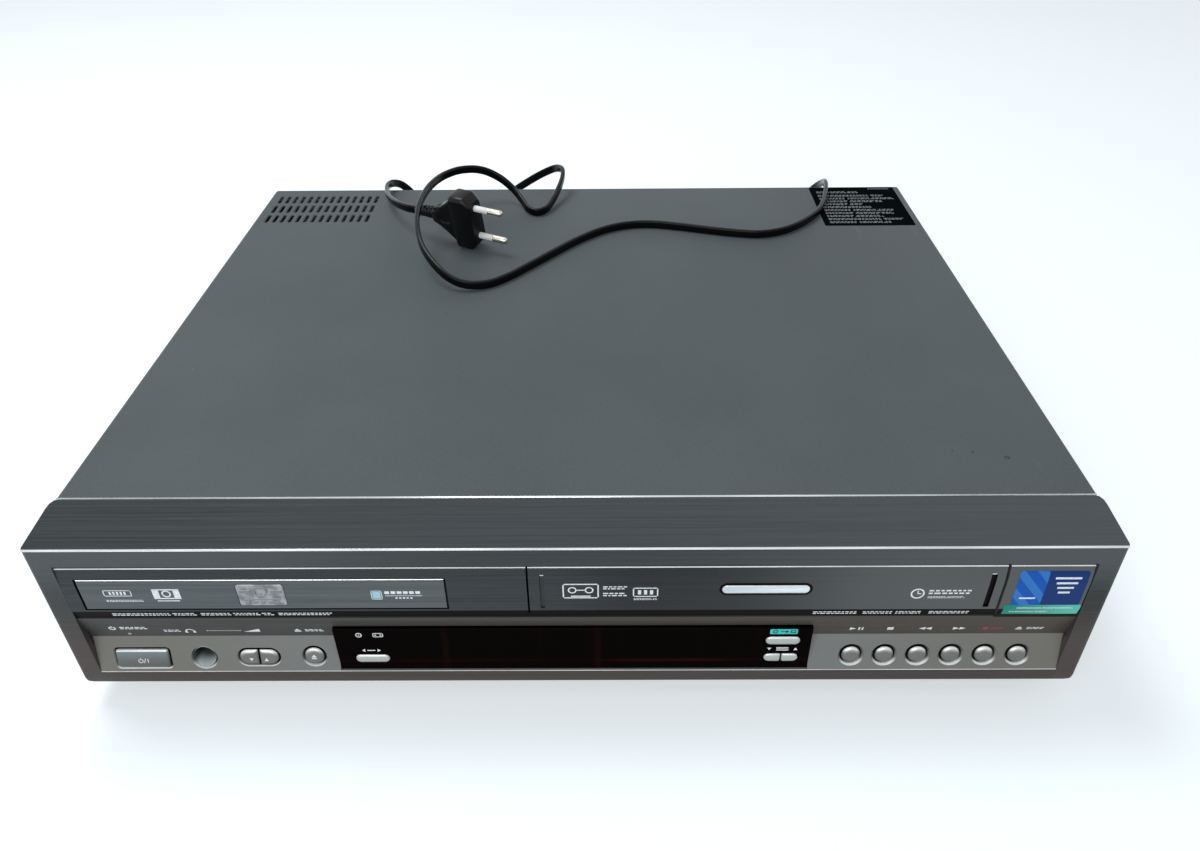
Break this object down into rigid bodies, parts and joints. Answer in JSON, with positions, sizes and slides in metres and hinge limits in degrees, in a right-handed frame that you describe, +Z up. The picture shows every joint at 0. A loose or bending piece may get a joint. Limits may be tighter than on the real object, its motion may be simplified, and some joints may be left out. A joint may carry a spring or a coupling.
{
  "type": "dvd vcr combo player",
  "caption": "Low wide disc player and cassette recorder in one sheet-steel case, with disc tray, cassette flap, front buttons, dark display window and a mains cord lying on top.",
  "frame": {"origin": "centre of the footprint of the case, on the surface it stands on", "axes": "+X to the right across the front, +Y from the front to the rear sockets, +Z up"},
  "size_m": [0.4324, 0.4725, 0.1294],
  "materials": {
    "cover_steel": "fine textured paint",
    "chassis_steel": "zinc plated sheet",
    "front_plastic": "metallic grey moulding",
    "panel_plastic": "metallic grey moulding",
    "window_gloss": "smoked window",
    "button_silver": "silver lacquer",
    "black_plastic": "black moulding",
    "white_plastic": "natural moulding",
    "screw_steel": "plated steel",
    "drum_alloy": "turned",
    "bright_steel": "ground steel",
    "roller_rubber": "ground rubber",
    "board_resin": "printed board",
    "supply_resin": "paper board",
    "cord_black": "soft vinyl",
    "plug_black": "moulded vinyl"
  },
  "bodies": {
    "case": {"top_cover": "cover_steel", "bottom_chassis": "chassis_steel", "rear_panel": "chassis_steel", "front_fascia": "front_plastic", "feet": "black_plastic", "fasteners": "screw_steel", "dvd_panel": "panel_plastic", "display_window": "window_gloss", "phones_jack": "black_plastic", "av_jacks": "black_plastic", "front_board": "board_resin", "loader_frame": "white_plastic", "clamp_bridge": "chassis_steel", "deck_plate": "chassis_steel", "carriage_sides": "chassis_steel", "lower_drum": "drum_alloy", "tape_heads": "drum_alloy", "small_motors": "bright_steel", "main_board": "board_resin", "power_supply": "supply_resin", "av_sockets": "black_plastic", "tuner": "bright_steel", "cord_gland": "cord_black", "mains_cord": "cord_black", "mains_cord_end": "cord_black", "mains_cord_coil": "cord_black", "mains_plug": "plug_black"},
    "tray": {"disc_tray": "black_plastic", "tray_door": "panel_plastic"},
    "cassette_door": {"cassette_door": "panel_plastic"},
    "av_door": {"av_door": "panel_plastic"},
    "tray_gear": {"tray_gear": "white_plastic"},
    "traverse": {"traverse": "white_plastic"},
    "turntable": {"turntable": "black_plastic"},
    "pickup": {"pickup": "black_plastic"},
    "disc_clamper": {"disc_clamper": "black_plastic"},
    "basket_slides": {"basket_slides": "white_plastic"},
    "cassette_basket": {"cassette_basket": "chassis_steel"},
    "upper_drum": {"upper_drum": "drum_alloy"},
    "capstan": {"capstan": "bright_steel"},
    "pinch_arm": {"pinch_arm": "bright_steel"},
    "pinch_roller": {"pinch_roller": "roller_rubber"},
    "supply_reel": {"supply_reel": "white_plastic"},
    "take_up_reel": {"take_up_reel": "white_plastic"},
    "supply_guide": {"supply_guide": "drum_alloy"},
    "take_up_guide": {"take_up_guide": "drum_alloy"},
    "power_button": {"power_button": "button_silver"},
    "level_down_button": {"level_down_button": "button_silver"},
    "level_up_button": {"level_up_button": "button_silver"},
    "open_close_button": {"open_close_button": "button_silver"},
    "play_button": {"play_button": "button_silver"},
    "stop_button": {"stop_button": "button_silver"},
    "rewind_button": {"rewind_button": "button_silver"},
    "forward_button": {"forward_button": "button_silver"},
    "record_button": {"record_button": "button_silver"},
    "eject_button": {"eject_button": "button_silver"},
    "select_button": {"select_button": "button_silver"},
    "copy_button": {"copy_button": "button_silver"},
    "program_down_button": {"program_down_button": "button_silver"},
    "program_up_button": {"program_up_button": "button_silver"}
  },
  "joints": [
    {"name": "tray_slide", "type": "slide", "parent": "case", "child": "tray", "axis": [0, -1, 0], "range_m": [0, 0.135]},
    {"name": "tray_gear_turn", "type": "hinge", "parent": "case", "child": "tray_gear", "pos_m": [-0.1778, -0.16, 0.061], "axis": [0, 0, 1], "range_deg": [-5, 790]},
    {"name": "traverse_tilt", "type": "hinge", "parent": "case", "child": "traverse", "pos_m": [-0.1258, -0.014, 0.0495], "axis": [1, 0, 0], "range_deg": [0, 4]},
    {"name": "disc_spin", "type": "hinge", "parent": "traverse", "child": "turntable", "pos_m": [-0.1258, -0.1, 0.061], "axis": [0, 0, 1], "continuous": true},
    {"name": "pickup_slide", "type": "slide", "parent": "traverse", "child": "pickup", "axis": [0, 1, 0], "range_m": [0, 0.035]},
    {"name": "clamp_spin", "type": "hinge", "parent": "case", "child": "disc_clamper", "pos_m": [-0.1258, -0.1, 0.071], "axis": [0, 0, 1], "continuous": true},
    {"name": "cassette_flap", "type": "hinge", "parent": "case", "child": "cassette_door", "pos_m": [0.07665, -0.175, 0.0785], "axis": [1, 0, 0], "range_deg": [0, 80], "stiffness_Nm_per_rad": 0.01, "springref_deg": -28.65},
    {"name": "av_flap", "type": "hinge", "parent": "case", "child": "av_door", "pos_m": [0.18935, -0.177, 0.0542], "axis": [1, 0, 0], "range_deg": [0, 90]},
    {"name": "basket_in", "type": "slide", "parent": "case", "child": "basket_slides", "axis": [0, 1, 0], "range_m": [0, 0.045]},
    {"name": "basket_down", "type": "slide", "parent": "basket_slides", "child": "cassette_basket", "axis": [0, 0, -1], "range_m": [0, 0.016]},
    {"name": "drum_spin", "type": "hinge", "parent": "case", "child": "upper_drum", "pos_m": [0.07665, 0.045, 0.0295], "axis": [0, 0.104, 0.9946], "continuous": true},
    {"name": "capstan_spin", "type": "hinge", "parent": "case", "child": "capstan", "pos_m": [0.13465, 0.016, 0.041], "axis": [0, 0, 1], "continuous": true},
    {"name": "pinch_swing", "type": "hinge", "parent": "case", "child": "pinch_arm", "pos_m": [0.15665, 0.034, 0.031], "axis": [0, 0, 1], "range_deg": [0, 35]},
    {"name": "pinch_roller_spin", "type": "hinge", "parent": "pinch_arm", "child": "pinch_roller", "pos_m": [0.13611, 0.03551, 0.049], "axis": [0, 0, 1], "continuous": true},
    {"name": "supply_reel_spin", "type": "hinge", "parent": "case", "child": "supply_reel", "pos_m": [0.03065, -0.06, 0.031], "axis": [0, 0, 1], "continuous": true},
    {"name": "take_up_reel_spin", "type": "hinge", "parent": "case", "child": "take_up_reel", "pos_m": [0.12265, -0.06, 0.031], "axis": [0, 0, 1], "continuous": true},
    {"name": "take_up_guide_slide", "type": "slide", "parent": "case", "child": "take_up_guide", "axis": [0.2659, 0.964, 0], "range_m": [0, 0.06]},
    {"name": "supply_guide_slide", "type": "slide", "parent": "case", "child": "supply_guide", "axis": [-0.2659, 0.964, 0], "range_m": [0, 0.06]},
    {"name": "power_press", "type": "slide", "parent": "case", "child": "power_button", "axis": [0, 0.9701, -0.2425], "range_m": [0, 0.001], "stiffness_N_per_m": 300},
    {"name": "level_down_press", "type": "slide", "parent": "case", "child": "level_down_button", "axis": [0, 0.9701, -0.2425], "range_m": [0, 0.001], "stiffness_N_per_m": 300},
    {"name": "level_up_press", "type": "slide", "parent": "case", "child": "level_up_button", "axis": [0, 0.9701, -0.2425], "range_m": [0, 0.001], "stiffness_N_per_m": 300},
    {"name": "open_close_press", "type": "slide", "parent": "case", "child": "open_close_button", "axis": [0, 0.9701, -0.2425], "range_m": [0, 0.001], "stiffness_N_per_m": 300},
    {"name": "play_press", "type": "slide", "parent": "case", "child": "play_button", "axis": [0, 0.9701, -0.2425], "range_m": [0, 0.001], "stiffness_N_per_m": 300},
    {"name": "stop_press", "type": "slide", "parent": "case", "child": "stop_button", "axis": [0, 0.9701, -0.2425], "range_m": [0, 0.001], "stiffness_N_per_m": 300},
    {"name": "rewind_press", "type": "slide", "parent": "case", "child": "rewind_button", "axis": [0, 0.9701, -0.2425], "range_m": [0, 0.001], "stiffness_N_per_m": 300},
    {"name": "forward_press", "type": "slide", "parent": "case", "child": "forward_button", "axis": [0, 0.9701, -0.2425], "range_m": [0, 0.001], "stiffness_N_per_m": 300},
    {"name": "record_press", "type": "slide", "parent": "case", "child": "record_button", "axis": [0, 0.9701, -0.2425], "range_m": [0, 0.001], "stiffness_N_per_m": 300},
    {"name": "eject_press", "type": "slide", "parent": "case", "child": "eject_button", "axis": [0, 0.9701, -0.2425], "range_m": [0, 0.001], "stiffness_N_per_m": 300},
    {"name": "select_press", "type": "slide", "parent": "case", "child": "select_button", "axis": [0, 1, 0], "range_m": [0, 0.001], "stiffness_N_per_m": 300},
    {"name": "copy_press", "type": "slide", "parent": "case", "child": "copy_button", "axis": [0, 1, 0], "range_m": [0, 0.001], "stiffness_N_per_m": 300},
    {"name": "program_down_press", "type": "slide", "parent": "case", "child": "program_down_button", "axis": [0, 1, 0], "range_m": [0, 0.001], "stiffness_N_per_m": 300},
    {"name": "program_up_press", "type": "slide", "parent": "case", "child": "program_up_button", "axis": [0, 1, 0], "range_m": [0, 0.001], "stiffness_N_per_m": 300}
  ],
  "couplings": [
    {"joint": "tray_gear_turn", "follows": "tray_slide", "rad_per_m": 100},
    {"joint": "clamp_spin", "follows": "disc_spin", "ratio": 1},
    {"joint": "supply_guide_slide", "follows": "take_up_guide_slide", "ratio": 1}
  ]
}
